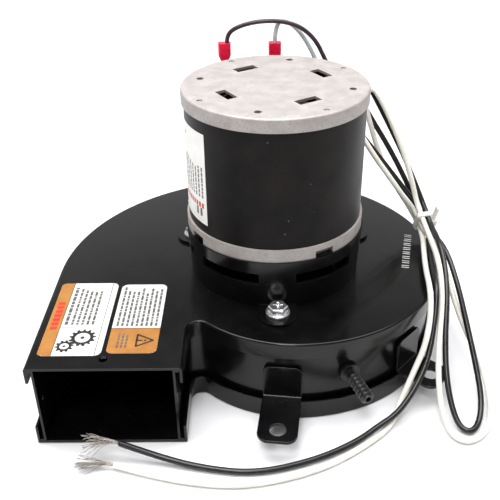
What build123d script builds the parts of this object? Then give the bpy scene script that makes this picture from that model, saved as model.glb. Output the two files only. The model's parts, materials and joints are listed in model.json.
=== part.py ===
from build123d import *
import math
import os

os.makedirs("parts", exist_ok=True)

# Combustion fan: a scroll housing of pressed sheet, a forward curved wheel, and a
# fan cooled capacitor motor on a cup bolted to the top of the housing.
# The shaft axis is Z, through the origin. The inlet is underneath, the outlet faces -Y.

# ---------------------------------------------------------------- driving sizes, mm
sheet = 1.2                      # housing pans
wall_sheet = 1.0                 # scroll wall strip
housing_height = 42.2
top_rim_depth = 8.0
bottom_rim_height = 9.5
ledge = 3.0                      # wall strip stands this far inside the pan outline
flange_gap = 0.1                 # between a wall flange and the pan rim

scroll_start_radius = 59.7       # first arc of the four arc spiral
centre_x_right = 9.2             # arc centres, either side of the shaft
centre_x_left = 5.4
centre_y_front = 9.2
centre_y_rear = 4.0
outlet_width = 66.1
outlet_front = 83.3              # outlet face, in front of the shaft
tongue_radius = 5.0

inlet_radius = 35.0
inlet_lip_radius = 4.5
inlet_collar_top = 7.5
shaft_hole_radius = 14.0
panel_hole = (-73.6, -77.2)      # locating hole in the top pan, near the outlet
panel_hole_radius = 1.8
side_hole_radius = 1.25          # screw holes in both outlet walls
side_hole_inset = 6.0

motor_radius = 42.0              # end caps
shell_radius = motor_radius - 1.0
shell_sheet = 1.2
shell_height = 54.9
cap_height = 6.2
cap_sheet = 2.2                  # skirts, and the lower shield's floor
cap_top_sheet = 1.2
shield_ring_height = 6.1
cup_height = 24.6
cup_sheet = 1.5
cup_top_radius = motor_radius + 0.8
cup_foot_radius = motor_radius - 0.8
cup_flange_radius = motor_radius - 8.0
ear_count = 3
ear_angle = -89.4
ear_width = 17.3
ear_screw_radius = cup_top_radius + 4.9
ear_tip_radius = ear_screw_radius + 9.0
ear_root_radius = cup_foot_radius - 11.2           # where an ear joins the cup's floor
cup_slot_offset = 32.5           # slot centres, degrees either side of an ear
cup_slot_span = 42.0
cup_slot_height = 5.5
cup_slot_rise = 12.8
screw_play = 0.3                 # screw in a clearance hole

grommet_angle = 50.0
grommet_height = 106.0
grommet_neck_radius = 4.8
grommet_face_radius = shell_radius + 3.0       # outer face, from the motor axis
cap_hole_circle = motor_radius - 7.5
cap_hole_angle = 77.0
cap_hole_radius = 1.6
cap_slot_circle = 25.0
cap_slot_angle = 32.0
cap_slot_length = 11.0
cap_slot_depth = 5.0
cap_dimple_circle = motor_radius - 4.0
motor_screw_circle = motor_radius - 5.0
motor_screw_radius = 1.9
motor_screw_head = 3.6
motor_screw_head_height = 2.4
shield_vent_circle = 24.0
shield_vent_count = 6
shield_vent_radius = 4.5
shield_notch_angle = 31.0
shield_notch_width = 9.5
shield_notch_height = 3.4
shield_notch_depth = 3.0

shaft_radius = 3.97
running_clearance = 0.03         # shaft in a bearing
seat_clearance = 0.05            # a pressed or fixed piece in its hole
bearing_radius = 8.0
bearing_length = 10.0
boss_radius = 11.5
stator_height = 32.0
stator_bore = 22.4
air_gap = 0.4
slot_count = 24
end_turn_height = 9.0
slot_depth_radius = 32.5         # slots end at this radius
slot_width = 4.9                 # at the back of a slot
slot_side_angle = 82.0
slot_mouth = 1.6
tooth_tip = 1.6
coil_width = 2.2                 # coil side in a slot
winding_split = 28.8             # start winding inside, main winding outside
main_winding_outer = 35.5
end_ring_height = 4.0
end_ring_bore = 13.0
collar_radius = 7.5
wick_height = 2.4
retainer_sheet = 0.6
collar_play = 0.6

fan_blade_count = 9
fan_blade_height = 9.0
fan_disc_sheet = 1.2
fan_hub_radius = 7.5
fan_rise = 4.0                   # over the floor of the cup
fan_side_gap = 5.0

wheel_radius = 53.0
wheel_eye_radius = wheel_radius - 10.5
wheel_sheet = 1.0
blade_count = 36
blade_height = 25.0
blade_sheet = 0.7
blade_turn = 38.0                # degrees that a blade's chord leans off the radius
wheel_top_gap = 4.0              # under the top pan
hub_radius = 9.0
hub_length = 23.0
hub_flange_radius = 15.0
hub_flange_sheet = 2.0
set_screw_radius = 2.5
set_screw_level = 8.0            # over the hub's lower face
shaft_flat_depth = 0.6
backplate_hole_circle = 24.0
backplate_hole_radius = 4.0
slinger_gap = 0.6                # over the wheel

foot_sheet = 1.5
foot_width = 17.6
foot_height = 10.0
foot_leg_height = 18.0
foot_hole_radius = 3.6
front_foot_reach = 29.5          # tip beyond the wall strip
side_foot_reach = 21.4
foot_hole_inset = 7.0

tap_height = 22.0
tap_angle = -71.0
tap_length = 20.0
tap_bore_radius = 1.2
tap_neck_radius = 2.6
tap_collar_radius = 4.6
tap_collar_sheet = 2.0
tap_nut_radius = 5.0
tap_nut_height = 2.6
barb_count = 6
barb_pitch = 2.5
barb_radius = 3.1
barb_root_radius = 2.1

screw_radius = 2.1
screw_flange_radius = 5.5
screw_hex = 8.0
screw_head_height = 4.3
screw_flange_sheet = 1.2
recess_length = 4.4
recess_width = 1.1
recess_depth = 1.5
screw_tip = 3.0                  # shank below the sheets

capacitor_x = -11.5
capacitor_y = motor_radius + 18.5
capacitor_length = 48.0
capacitor_depth = 32.0
capacitor_height = 72.0
terminal_spacing = 25.7
can_rim_width = 2.0
can_rim_height = 1.2
terminal_base_radius = 4.5
terminal_base_height = 1.8
tab_width = 2.8
tab_sheet = 0.8
tab_cover = 7.0                  # tab inside its connector
strap_sheet = 1.0
strap_height = 12.0
strap_rise = 24.0
strap_foot = 11.5
strap_gap = 0.1
connector_width = 6.4
connector_depth = 4.6
connector_height = 15.0
connector_top = 134.6
connector_nose = 6.5             # height of the narrow lower part
connector_slope = 2.5
connector_taper = 1.25           # on each side

lead_radius = 1.35
thin_lead_radius = 1.1
bare_radius = 0.8
tie_width = 2.5
tie_sheet = 1.1
tie_half_width = 3.05            # inside of the tie's loop
tie_half_height = 4.6
tie_head = 4.4
tie_tail = 9.0
label_sheet = 0.15
nameplate_rise = 4.5
nameplate_height = 44.0
nameplate_edge = 138.5           # first edge, degrees; it wraps round to -138.5
nameplate_turn = 83.0

# ---------------------------------------------------------------- levels up the axis
plate_top = housing_height
plate_under = plate_top - sheet
cup_top = plate_top + cup_height
ring_top = cup_top + shield_ring_height
shell_top = ring_top + shell_height
cap_top = shell_top + cap_height
bearing_low = ring_top - bearing_length
bearing_high = cap_top - cap_top_sheet - bearing_length
stator_low = (ring_top + shell_top - stator_height) / 2
stator_high = stator_low + stator_height


def polar(radius, angle, centre=(0, 0)):
    turn = math.radians(angle)
    return (centre[0] + radius * math.cos(turn), centre[1] + radius * math.sin(turn))


def upright_plane(centre, angle):
    """A vertical plane: its x runs outward along the angle, its y is up."""
    out = polar(1, angle)
    return Plane(origin=(centre[0], centre[1], 0), x_dir=(out[0], out[1], 0), z_dir=(out[1], -out[0], 0))


# ---------------------------------------------------------------- scroll outline
step_y = centre_y_front + centre_y_rear
step_x = centre_x_left + centre_x_right
arc_centres = [
    (centre_x_right, -centre_y_front),
    (centre_x_right, centre_y_rear),
    (-centre_x_left, centre_y_rear),
    (-centre_x_left, -centre_y_front),
]
arc_radii = [
    scroll_start_radius,
    scroll_start_radius + step_y,
    scroll_start_radius + step_y + step_x,
    scroll_start_radius + 2 * step_y + step_x,
]
outlet_left = -centre_x_left - arc_radii[3]
outlet_right = outlet_left + outlet_width
tongue_x = outlet_right + tongue_radius
tongue_drop = math.sqrt((scroll_start_radius + tongue_radius) ** 2 - (tongue_x - centre_x_right) ** 2)
tongue_y = -centre_y_front - tongue_drop
tongue_angle = math.degrees(math.atan2(-tongue_drop, tongue_x - centre_x_right))


def scroll_face(inset):
    """The outline as a sketch, each wall moved in by the inset, the outlet face kept."""
    left = outlet_left + inset
    right = outlet_right - inset
    with BuildSketch(mode=Mode.PRIVATE) as outline:
        with BuildLine():
            CenterArc(arc_centres[0], arc_radii[0] - inset, tongue_angle, -90 - tongue_angle)
            CenterArc(arc_centres[1], arc_radii[1] - inset, -90, 90)
            CenterArc(arc_centres[2], arc_radii[2] - inset, 0, 90)
            last = CenterArc(arc_centres[3], arc_radii[3] - inset, 90, 90)
            Polyline(last @ 1, (left, -outlet_front), (right, -outlet_front), (right, tongue_y))
            CenterArc((tongue_x, tongue_y), tongue_radius + inset, 180, tongue_angle)
        make_face()
    return outline.sketch


def scroll_band(outer, inner):
    """A band between two insets of the outline, open at the outlet."""
    return scroll_face(outer) - scroll_face(inner)


ear_angles = [ear_angle + 360 / ear_count * index for index in range(ear_count)]
ear_points = [polar(ear_screw_radius, angle) for angle in ear_angles]
strap_reach = capacitor_length / 2 + strap_gap + strap_sheet
strap_points = [
    (capacitor_x + side * (strap_reach + strap_foot / 2), capacitor_y)
    for side in (-1, 1)
]

# ---------------------------------------------------------------- housing
with BuildPart() as top_pan:
    with BuildSketch(Plane.XY.offset(plate_under)):
        add(scroll_face(0))
    extrude(amount=sheet)
    with BuildSketch(Plane.XY.offset(plate_top - top_rim_depth)):
        add(scroll_band(0, sheet))
    extrude(amount=top_rim_depth - sheet)
    rim_edges = top_pan.edges().group_by(Axis.Z)[-1]
    fillet(rim_edges.filter_by(GeomType.CIRCLE), radius=sheet - 0.1)
    with Locations((0, 0, plate_top)):
        Hole(shaft_hole_radius, sheet)
    with Locations(*[(x, y, plate_top) for x, y in ear_points + strap_points]):
        Hole(screw_radius, sheet)
    with Locations((*panel_hole, plate_top)):
        Hole(panel_hole_radius, sheet)
top_pan.part.label = "top_pan"
export_step(top_pan.part, "parts/top_pan.step")

with BuildPart() as bottom_pan:
    with BuildSketch():
        add(scroll_face(0))
        Circle(inlet_radius + inlet_lip_radius, mode=Mode.SUBTRACT)
    extrude(amount=sheet)
    with BuildSketch(Plane.XY.offset(sheet)):
        add(scroll_band(0, sheet))
    extrude(amount=bottom_rim_height - sheet)
    with BuildSketch(Plane.XZ):
        lip_centre = (inlet_radius + inlet_lip_radius, inlet_lip_radius)
        with BuildLine():
            CenterArc(lip_centre, inlet_lip_radius, 180, 90)
            CenterArc(lip_centre, inlet_lip_radius - sheet, 180, 90)
            Polyline(
                (inlet_radius, inlet_lip_radius),
                (inlet_radius, inlet_collar_top),
                (inlet_radius + sheet, inlet_collar_top),
                (inlet_radius + sheet, inlet_lip_radius),
            )
            Line((lip_centre[0], 0), (lip_centre[0], sheet))
        make_face()
    revolve(axis=Axis.Z)
bottom_pan.part.label = "bottom_pan"
export_step(bottom_pan.part, "parts/bottom_pan.step")

tap_out = polar(1, tap_angle)
tap_wall_radius = arc_radii[1] - ledge
tap_root = polar(tap_wall_radius, tap_angle, arc_centres[1])
tap_axis = Axis((tap_root[0], tap_root[1], tap_height), (tap_out[0], tap_out[1], 0))
tap_plane = Plane(origin=tap_axis.position, x_dir=tap_axis.direction, z_dir=(tap_out[1], -tap_out[0], 0))

with BuildPart() as scroll_wall:
    with BuildSketch(Plane.XY.offset(sheet)):
        add(scroll_band(ledge, ledge + wall_sheet))
    extrude(amount=plate_under - sheet)
    for level in (sheet, plate_under - wall_sheet):
        with BuildSketch(Plane.XY.offset(level)):
            add(scroll_band(sheet + flange_gap, ledge + wall_sheet))
        extrude(amount=wall_sheet)
    with BuildSketch(Plane(origin=tap_axis.position, z_dir=tap_axis.direction)):
        Circle(tap_neck_radius + seat_clearance)
    extrude(amount=wall_sheet * 4, both=True, mode=Mode.SUBTRACT)
    with BuildSketch(Plane.YZ.offset(outlet_left)):
        with Locations((side_hole_inset - outlet_front, plate_top / 2)):
            Circle(side_hole_radius)
    extrude(amount=outlet_width, mode=Mode.SUBTRACT)
scroll_wall.part.label = "scroll_wall"
export_step(scroll_wall.part, "parts/scroll_wall.step")

# ---------------------------------------------------------------- feet
feet = {
    "front_foot": (arc_centres[0], arc_radii[0] - ledge, -97.0, front_foot_reach),
    "right_foot": (arc_centres[1], arc_radii[1] - ledge, -42.0, side_foot_reach),
    "rear_foot": (arc_centres[3], arc_radii[3] - ledge, 122.0, side_foot_reach),
}
for foot_name, (centre, wall_radius, angle, reach) in feet.items():
    with BuildPart() as foot:
        with BuildSketch(upright_plane(centre, angle)):
            tip = wall_radius + reach
            with BuildLine():
                Polyline(
                    (wall_radius, foot_height),
                    (tip, foot_height),
                    (tip, foot_height + foot_sheet),
                    (wall_radius + foot_sheet, foot_height + foot_sheet),
                    (wall_radius + foot_sheet, foot_height + foot_leg_height),
                    (wall_radius, foot_height + foot_leg_height),
                    close=True,
                )
            make_face()
            outer = vertices().sort_by_distance((wall_radius, foot_height))
            fillet(outer[0], radius=foot_sheet + 0.8)
            inner = vertices().sort_by_distance((wall_radius + foot_sheet, foot_height + foot_sheet))
            fillet(inner[0], radius=0.8)
        extrude(amount=foot_width / 2, both=True)
        fillet(foot.edges().filter_by(Axis.Z).sort_by_distance((*centre, foot_height))[-2:], radius=5)
        outward = Axis((0, 0, 0), (*polar(1, angle), 0))
        fillet(foot.edges().filter_by(outward).group_by(Axis.Z)[-1], radius=3)
        hole = polar(tip - foot_hole_inset, angle, centre)
        with Locations((*hole, foot_height + foot_sheet)):
            Hole(foot_hole_radius, foot_sheet)
    foot.part.label = foot_name
    export_step(foot.part, f"parts/{foot_name}.step")

# ---------------------------------------------------------------- pressure tap
tap_inside = -wall_sheet - tap_nut_height - 0.6
with BuildPart() as pressure_tap:
    with BuildSketch(tap_plane):
        profile = [(tap_inside, tap_bore_radius), (tap_inside, tap_neck_radius), (0, tap_neck_radius)]
        profile += [(0, tap_collar_radius), (tap_collar_sheet, tap_collar_radius)]
        profile += [(tap_collar_sheet, barb_root_radius)]
        start = tap_length - barb_count * barb_pitch
        for index in range(barb_count):
            foot_of_barb = start + index * barb_pitch
            profile += [(foot_of_barb, barb_root_radius), (foot_of_barb + barb_pitch * 0.2, barb_radius)]
            profile += [(foot_of_barb + barb_pitch * 0.45, barb_radius)]
            profile += [(foot_of_barb + barb_pitch * 0.85, barb_root_radius)]
        profile += [(tap_length, barb_root_radius), (tap_length, tap_bore_radius)]
        with BuildLine():
            Polyline(*profile, close=True)
        make_face()
    revolve(axis=tap_axis)
pressure_tap.part.label = "pressure_tap"
export_step(pressure_tap.part, "parts/pressure_tap.step")

with BuildPart() as tap_nut:
    with BuildSketch(Plane(origin=tap_axis.position, z_dir=tap_axis.direction).offset(tap_inside + 0.2)):
        RegularPolygon(tap_nut_radius, 6)
        Circle(tap_neck_radius + seat_clearance, mode=Mode.SUBTRACT)
    extrude(amount=tap_nut_height)
tap_nut.part.label = "tap_nut"
export_step(tap_nut.part, "parts/tap_nut.step")

# ---------------------------------------------------------------- motor cup and its screws
with BuildPart() as motor_cup:
    with BuildSketch(Plane.XZ):
        with BuildLine():
            Polyline(
                (shaft_hole_radius, plate_top),
                (cup_foot_radius, plate_top),
                (cup_top_radius, cup_top),
                (cup_flange_radius, cup_top),
                (cup_flange_radius, cup_top - cup_sheet),
                (cup_top_radius - cup_sheet, cup_top - cup_sheet),
                (cup_foot_radius - cup_sheet, plate_top + cup_sheet),
                (shaft_hole_radius, plate_top + cup_sheet),
                close=True,
            )
        make_face()
    revolve(axis=Axis.Z)
    for angle in ear_angles:
        with BuildSketch(Plane(origin=(0, 0, plate_top), x_dir=(*polar(1, angle), 0), z_dir=(0, 0, 1))):
            ear_end = ear_tip_radius - ear_width / 2
            with Locations((ear_end, 0)):
                Circle(ear_width / 2)
            with Locations(((ear_end + ear_root_radius) / 2, 0)):
                Rectangle(ear_end - ear_root_radius, ear_width)
        extrude(amount=cup_sheet)
        for side in (-1, 1):
            with BuildSketch(Plane.XY.offset(plate_top + cup_slot_rise)):
                middle = angle + side * cup_slot_offset
                with BuildLine():
                    inner = CenterArc((0, 0), cup_foot_radius - 5, middle - cup_slot_span / 2, cup_slot_span)
                    outer = CenterArc((0, 0), cup_top_radius + 5, middle - cup_slot_span / 2, cup_slot_span)
                    Line(inner @ 0, outer @ 0)
                    Line(inner @ 1, outer @ 1)
                make_face()
            extrude(amount=cup_slot_height, mode=Mode.SUBTRACT)
    with Locations(*[(x, y, plate_top + cup_sheet) for x, y in ear_points]):
        Hole(screw_radius + screw_play, cup_sheet)
    with Locations(Location((0, 0, cup_top))):
        with PolarLocations(motor_screw_circle, 4, start_angle=45):
            Hole(motor_screw_radius + seat_clearance, cup_sheet)
motor_cup.part.label = "motor_cup"
export_step(motor_cup.part, "parts/motor_cup.step")


def washer_head_screw(point, seat, grip, name):
    """Hexagon washer head with a cross recess, its shank going down through the grip."""
    with BuildPart() as screw:
        with BuildSketch(Plane(origin=(*point, seat))):
            Circle(screw_flange_radius)
        extrude(amount=screw_flange_sheet)
        with BuildSketch(Plane(origin=(*point, seat + screw_flange_sheet))):
            RegularPolygon(screw_hex / 2, 6, major_radius=False)
        extrude(amount=screw_head_height - screw_flange_sheet)
        chamfer(screw.edges().group_by(Axis.Z)[-1], length=0.5)
        with BuildSketch(Plane(origin=(*point, seat + screw_head_height - recess_depth))):
            Rectangle(recess_length, recess_width)
            Rectangle(recess_width, recess_length)
        extrude(amount=recess_depth, mode=Mode.SUBTRACT)
        with BuildSketch(Plane(origin=(*point, seat))):
            Circle(screw_radius - seat_clearance)
        extrude(amount=-grip - screw_tip)
    screw.part.label = name
    return screw.part


cup_screws = [
    washer_head_screw(point, plate_top + cup_sheet, cup_sheet + sheet, f"cup_screw_{index + 1}")
    for index, point in enumerate(ear_points)
]
cup_screw_group = Compound(label="cup_screws", children=cup_screws)
export_step(cup_screw_group, "parts/cup_screws.step")

# ---------------------------------------------------------------- motor case
with BuildPart() as lower_end_shield:
    with BuildSketch(Plane.XY.offset(cup_top)):
        Circle(motor_radius)
        Circle(motor_radius - cap_sheet, mode=Mode.SUBTRACT)
    extrude(amount=shield_ring_height)
    with BuildSketch(Plane.XY.offset(cup_top)):
        Circle(motor_radius)
    extrude(amount=cap_sheet)
    with BuildSketch(Plane.XY.offset(bearing_low)):
        Circle(boss_radius)
    extrude(amount=bearing_length)
    with Locations((0, 0, ring_top)):
        Hole(bearing_radius + seat_clearance, bearing_length)
    with Locations(Location((0, 0, cup_top + cap_sheet))):
        with PolarLocations(motor_screw_circle, 4, start_angle=45):
            Hole(motor_screw_radius + seat_clearance, cap_sheet)
        with PolarLocations(shield_vent_circle, shield_vent_count):
            Hole(shield_vent_radius, cap_sheet)
    for index in range(4):
        with BuildSketch(upright_plane((0, 0), shield_notch_angle + 90 * index)):
            with Locations((motor_radius, cup_top)):
                Rectangle(2 * shield_notch_depth, 2 * shield_notch_height)
        extrude(amount=shield_notch_width / 2, both=True, mode=Mode.SUBTRACT)
lower_end_shield.part.label = "lower_end_shield"
export_step(lower_end_shield.part, "parts/lower_end_shield.step")

motor_screws = []
for index in range(4):
    point = polar(motor_screw_circle, 45 + 90 * index)
    with BuildPart() as motor_screw:
        with BuildSketch(Plane(origin=(*point, cup_top - cup_sheet))):
            Circle(motor_screw_head)
        extrude(amount=-motor_screw_head_height)
        with BuildSketch(Plane(origin=(*point, cup_top - cup_sheet))):
            Circle(motor_screw_radius)
        extrude(amount=cup_sheet + cap_sheet + 1.5)
        with BuildSketch(Plane(origin=(*point, cup_top - cup_sheet - motor_screw_head_height))):
            Rectangle(recess_length, recess_width)
        extrude(amount=1.0, mode=Mode.SUBTRACT)
    motor_screw.part.label = f"motor_screw_{index + 1}"
    motor_screws.append(motor_screw.part)
export_step(Compound(label="motor_screws", children=motor_screws), "parts/motor_screws.step")

grommet_plane = Plane(origin=(0, 0, grommet_height), z_dir=(*polar(1, grommet_angle), 0))

with BuildPart() as motor_shell:
    with BuildSketch(Plane.XY.offset(ring_top)):
        Circle(shell_radius)
        Circle(shell_radius - shell_sheet, mode=Mode.SUBTRACT)
    extrude(amount=shell_height)
    with BuildSketch(grommet_plane.offset(shell_radius - shell_sheet - 2)):
        Circle(grommet_neck_radius + seat_clearance)
    extrude(amount=shell_sheet + 4, mode=Mode.SUBTRACT)
motor_shell.part.label = "motor_shell"
export_step(motor_shell.part, "parts/motor_shell.step")

with BuildPart() as lead_grommet:
    with BuildSketch(grommet_plane.offset(shell_radius - shell_sheet)):
        Circle(grommet_neck_radius)
    extrude(amount=grommet_face_radius - shell_radius + shell_sheet)
    with BuildSketch(grommet_plane.offset(shell_radius + 0.1)):
        Circle(grommet_neck_radius + 1.6)
    extrude(amount=grommet_face_radius - shell_radius - 0.1)
    fillet(lead_grommet.edges().filter_by(GeomType.CIRCLE).sort_by(SortBy.RADIUS)[-1], radius=0.8)
lead_grommet.part.label = "lead_grommet"
export_step(lead_grommet.part, "parts/lead_grommet.step")

with BuildPart() as upper_end_shield:
    with BuildSketch(Plane.XY.offset(shell_top)):
        Circle(motor_radius)
        Circle(motor_radius - cap_sheet, mode=Mode.SUBTRACT)
    extrude(amount=cap_height)
    with BuildSketch(Plane.XY.offset(cap_top - cap_top_sheet)):
        Circle(motor_radius)
    extrude(amount=cap_top_sheet)
    with BuildSketch(Plane.XY.offset(bearing_high)):
        Circle(boss_radius)
    extrude(amount=bearing_length)
    with BuildSketch(Plane.XY.offset(bearing_high)):
        Circle(bearing_radius + seat_clearance)
    extrude(amount=bearing_length, mode=Mode.SUBTRACT)
    fillet(upper_end_shield.edges().group_by(Axis.Z)[-1], radius=cap_top_sheet)
    with Locations(Location((0, 0, cap_top))):
        with PolarLocations(cap_hole_circle, 4, start_angle=cap_hole_angle):
            Hole(cap_hole_radius, cap_top_sheet)
    with BuildSketch(Plane.XY.offset(cap_top)):
        with PolarLocations(cap_slot_circle, 4, start_angle=cap_slot_angle):
            Rectangle(cap_slot_depth, cap_slot_length)
    extrude(amount=-cap_top_sheet, mode=Mode.SUBTRACT)
    with BuildSketch(Plane.XY.offset(cap_top)):
        with PolarLocations(cap_dimple_circle, 4, start_angle=cap_slot_angle):
            Circle(1.3)
    extrude(amount=-0.5, mode=Mode.SUBTRACT)
upper_end_shield.part.label = "upper_end_shield"
export_step(upper_end_shield.part, "parts/upper_end_shield.step")

# ---------------------------------------------------------------- bearings
bearings = {"lower_bearing": bearing_low, "upper_bearing": bearing_high}
for bearing_name, level in bearings.items():
    with BuildPart() as bearing:
        with BuildSketch(Plane.XY.offset(level)):
            Circle(bearing_radius)
            Circle(shaft_radius + running_clearance, mode=Mode.SUBTRACT)
        extrude(amount=bearing_length)
        chamfer(bearing.edges().filter_by(GeomType.CIRCLE).sort_by(SortBy.RADIUS)[-2:], length=0.4)
    bearing.part.label = bearing_name
    export_step(bearing.part, f"parts/{bearing_name}.step")

# oil wicks and their spring plates sit against the inner end of each bearing boss
inner_ends = {"lower": (ring_top, 1), "upper": (bearing_high, -1)}
for place, (level, way) in inner_ends.items():
    with BuildPart() as wick:
        with BuildSketch(Plane.XY.offset(level)):
            Circle(boss_radius - 0.5)
            Circle(shaft_radius + 1.5, mode=Mode.SUBTRACT)
        extrude(amount=way * wick_height)
    wick.part.label = f"{place}_oil_wick"
    export_step(wick.part, f"parts/{place}_oil_wick.step")
    with BuildPart() as retainer:
        with BuildSketch(Plane.XY.offset(level + way * wick_height)):
            Circle(boss_radius)
            Circle(shaft_radius + 1.0, mode=Mode.SUBTRACT)
            with PolarLocations(boss_radius, 6):
                Rectangle(3.0, 2.0, mode=Mode.SUBTRACT)
        extrude(amount=way * retainer_sheet)
    retainer.part.label = f"{place}_wick_retainer"
    export_step(retainer.part, f"parts/{place}_wick_retainer.step")

# ---------------------------------------------------------------- stator and its windings
stator_radius = shell_radius - shell_sheet - 0.1
slot_inner = stator_bore + tooth_tip
slot_outer = slot_depth_radius
slot_pitch = 360 / slot_count
with BuildPart() as stator_core:
    with BuildSketch(Plane.XY.offset(stator_low)):
        Circle(stator_radius)
        Circle(stator_bore, mode=Mode.SUBTRACT)
        with PolarLocations((slot_inner + slot_outer) / 2, slot_count):
            Trapezoid(slot_width, slot_outer - slot_inner, slot_side_angle, rotation=90, mode=Mode.SUBTRACT)
        with PolarLocations(slot_inner, slot_count):
            Rectangle(2 * tooth_tip + 1.0, slot_mouth, mode=Mode.SUBTRACT)
    extrude(amount=stator_height)
stator_core.part.label = "stator_core"
export_step(stator_core.part, "parts/stator_core.step")

windings = {
    "main_winding": (winding_split + 0.2, main_winding_outer, 0),
    "start_winding": (stator_bore + 1.8, winding_split - 0.2, 1),
}
for winding_name, (inner_radius, outer_radius, first_slot) in windings.items():
    with BuildPart() as winding:
        for level, way in ((stator_high, 1), (stator_low, -1)):
            with BuildSketch(Plane.XY.offset(level)):
                Circle(outer_radius)
                Circle(inner_radius, mode=Mode.SUBTRACT)
            extrude(amount=way * end_turn_height)
        with BuildSketch(Plane.XY.offset(stator_low)):
            first_angle = first_slot * slot_pitch
            with PolarLocations((slot_inner + slot_outer) / 2, slot_count // 2, start_angle=first_angle):
                Rectangle(slot_outer - slot_inner - 1.0, coil_width)
        extrude(amount=stator_height)
        ends = winding.edges().filter_by(GeomType.CIRCLE)
        fillet(ends.group_by(Axis.Z)[0] + ends.group_by(Axis.Z)[-1], radius=1.8)
    winding.part.label = winding_name
    export_step(winding.part, f"parts/{winding_name}.step")

# ---------------------------------------------------------------- rotor
rotor_radius = stator_bore - air_gap
wheel_top = plate_under - wheel_top_gap
wheel_low = wheel_top - wheel_sheet - blade_height
hub_low = wheel_top - wheel_sheet - hub_length
shaft_low = hub_low - 1.5
shaft_top = cap_top - cap_top_sheet - 0.5
flat_length = hub_length - 1.0
with BuildPart() as motor_shaft:
    with BuildSketch(Plane.XY.offset(shaft_low)):
        Circle(shaft_radius)
    extrude(amount=shaft_top - shaft_low)
    chamfer(motor_shaft.edges().filter_by(GeomType.CIRCLE), length=0.4)
    with BuildSketch(Plane.XY.offset(shaft_low)):
        with Locations((-shaft_radius, 0)):
            Rectangle(2 * shaft_flat_depth, 2 * shaft_radius)
    extrude(amount=flat_length, mode=Mode.SUBTRACT)
motor_shaft.part.label = "motor_shaft"
export_step(motor_shaft.part, "parts/motor_shaft.step")

with BuildPart() as rotor_core:
    with BuildSketch(Plane.XY.offset(stator_low)):
        Circle(rotor_radius)
        Circle(shaft_radius, mode=Mode.SUBTRACT)
    extrude(amount=stator_height)
rotor_core.part.label = "rotor_core"
export_step(rotor_core.part, "parts/rotor_core.step")

end_rings = []
for level, way in ((stator_high, 1), (stator_low, -1)):
    with BuildPart() as end_ring:
        with BuildSketch(Plane.XY.offset(level)):
            Circle(rotor_radius - 1)
            Circle(end_ring_bore, mode=Mode.SUBTRACT)
        extrude(amount=way * end_ring_height)
        outer_edge = end_ring.faces().sort_by(Axis.Z)[-1 if way > 0 else 0].edges()
        fillet(outer_edge, radius=0.8)
    end_ring.part.label = f"end_ring_{len(end_rings) + 1}"
    end_rings.append(end_ring.part)
export_step(Compound(label="rotor_end_rings", children=end_rings), "parts/rotor_end_rings.step")

washers = []
for place, (level, way) in inner_ends.items():
    core_end = stator_low if way > 0 else stator_high
    retainer_end = level + way * (wick_height + retainer_sheet + collar_play)
    with BuildPart() as washer:
        with BuildSketch(Plane.XY.offset(retainer_end)):
            Circle(collar_radius)
            Circle(shaft_radius, mode=Mode.SUBTRACT)
        extrude(amount=core_end - retainer_end)
    washer.part.label = f"{place}_thrust_collar"
    washers.append(washer.part)
export_step(Compound(label="thrust_collars", children=washers), "parts/thrust_collars.step")

# ---------------------------------------------------------------- cooling fan inside the cup
fan_low = plate_top + cup_sheet + fan_rise
fan_radius = cup_foot_radius - cup_sheet - fan_side_gap
fan_hub_height = fan_disc_sheet + fan_blade_height
with BuildPart() as cooling_fan:
    with BuildSketch(Plane.XY.offset(fan_low)):
        Circle(fan_radius)
    extrude(amount=fan_disc_sheet)
    with BuildSketch(Plane.XY.offset(fan_low)):
        Circle(fan_hub_radius)
    extrude(amount=fan_hub_height)
    with BuildSketch(Plane.XY.offset(fan_low + fan_disc_sheet)):
        with PolarLocations((fan_radius + 2 * fan_hub_radius) / 2 - 0.5, fan_blade_count):
            Rectangle(fan_radius - 2 * fan_hub_radius, fan_disc_sheet, rotation=18)
    extrude(amount=fan_blade_height)
    with BuildSketch(Plane.XY.offset(fan_low)):
        Circle(shaft_radius)
    extrude(amount=fan_hub_height, mode=Mode.SUBTRACT)
cooling_fan.part.label = "cooling_fan"
export_step(cooling_fan.part, "parts/cooling_fan.step")

with BuildPart() as shaft_slinger:
    with BuildSketch(Plane.XY.offset(wheel_top + slinger_gap)):
        Circle(shaft_hole_radius + 1.5)
        Circle(shaft_radius, mode=Mode.SUBTRACT)
    extrude(amount=wheel_sheet)
    with BuildSketch(Plane.XY.offset(wheel_top + slinger_gap + wheel_sheet)):
        Circle(shaft_radius + 2.5)
        Circle(shaft_radius, mode=Mode.SUBTRACT)
    extrude(amount=3.0)
shaft_slinger.part.label = "shaft_slinger"
export_step(shaft_slinger.part, "parts/shaft_slinger.step")

# ---------------------------------------------------------------- blower wheel
set_screw_plane = Plane(origin=(0, 0, hub_low + set_screw_level), z_dir=(-1, 0, 0))
with BuildPart() as wheel_hub:
    with BuildSketch(Plane.XY.offset(hub_low)):
        Circle(hub_radius)
    extrude(amount=wheel_top - hub_low - wheel_sheet)
    with BuildSketch(Plane.XY.offset(wheel_top - wheel_sheet - hub_flange_sheet)):
        Circle(hub_flange_radius)
    extrude(amount=hub_flange_sheet)
    with Locations((0, 0, wheel_top - wheel_sheet)):
        Hole(shaft_radius, wheel_top - wheel_sheet - hub_low)
    with BuildSketch(set_screw_plane):
        Circle(set_screw_radius)
    extrude(amount=hub_radius + 1, mode=Mode.SUBTRACT)
wheel_hub.part.label = "wheel_hub"
export_step(wheel_hub.part, "parts/wheel_hub.step")

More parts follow.
